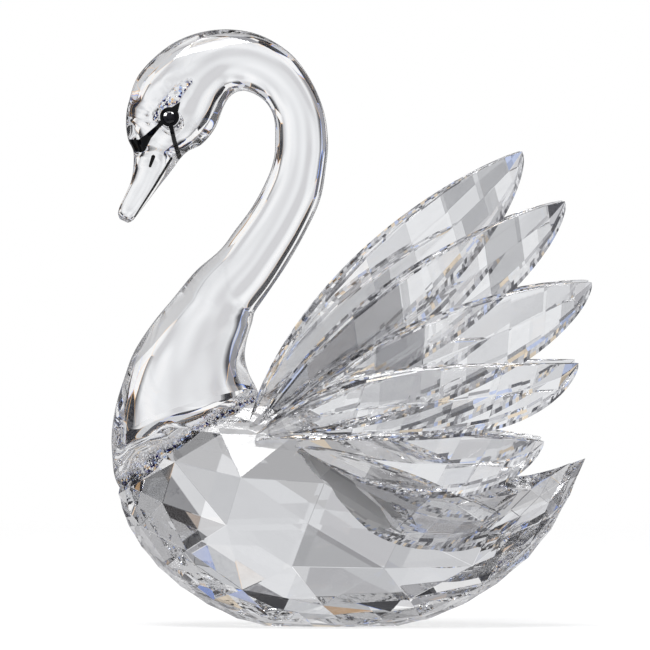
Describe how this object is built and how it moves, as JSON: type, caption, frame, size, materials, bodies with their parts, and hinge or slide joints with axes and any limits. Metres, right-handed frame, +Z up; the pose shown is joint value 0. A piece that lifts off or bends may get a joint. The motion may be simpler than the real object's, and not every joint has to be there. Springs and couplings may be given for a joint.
{
  "type": "crystal swan figurine",
  "caption": "Clear crystal swan ornament with a facet-cut body, a smooth curved neck and raised wings of long cut blades, standing on a flat under its belly.",
  "frame": {"origin": "centre of the bounding box, on the surface that the swan stands on", "axes": "+Z up, the head and beak look towards -X, the tail points to +X, and the swan's left side is -Y"},
  "size_m": [0.1197, 0.0536, 0.1491],
  "materials": {
    "clear_crystal": "polished clear lead-free crystal",
    "black_glass": "glossy black glass bead and enamel"
  },
  "bodies": {
    "root": {"body": "clear_crystal", "neck_and_head": "clear_crystal", "feather_left_1": "clear_crystal", "feather_left_2": "clear_crystal", "feather_left_3": "clear_crystal", "feather_left_4": "clear_crystal", "feather_left_5": "clear_crystal", "feather_left_6": "clear_crystal", "feather_right_1": "clear_crystal", "feather_right_2": "clear_crystal", "feather_right_3": "clear_crystal", "feather_right_4": "clear_crystal", "feather_right_5": "clear_crystal", "feather_right_6": "clear_crystal", "eye_left": "black_glass", "eye_right": "black_glass"}
  },
  "joints": []
}
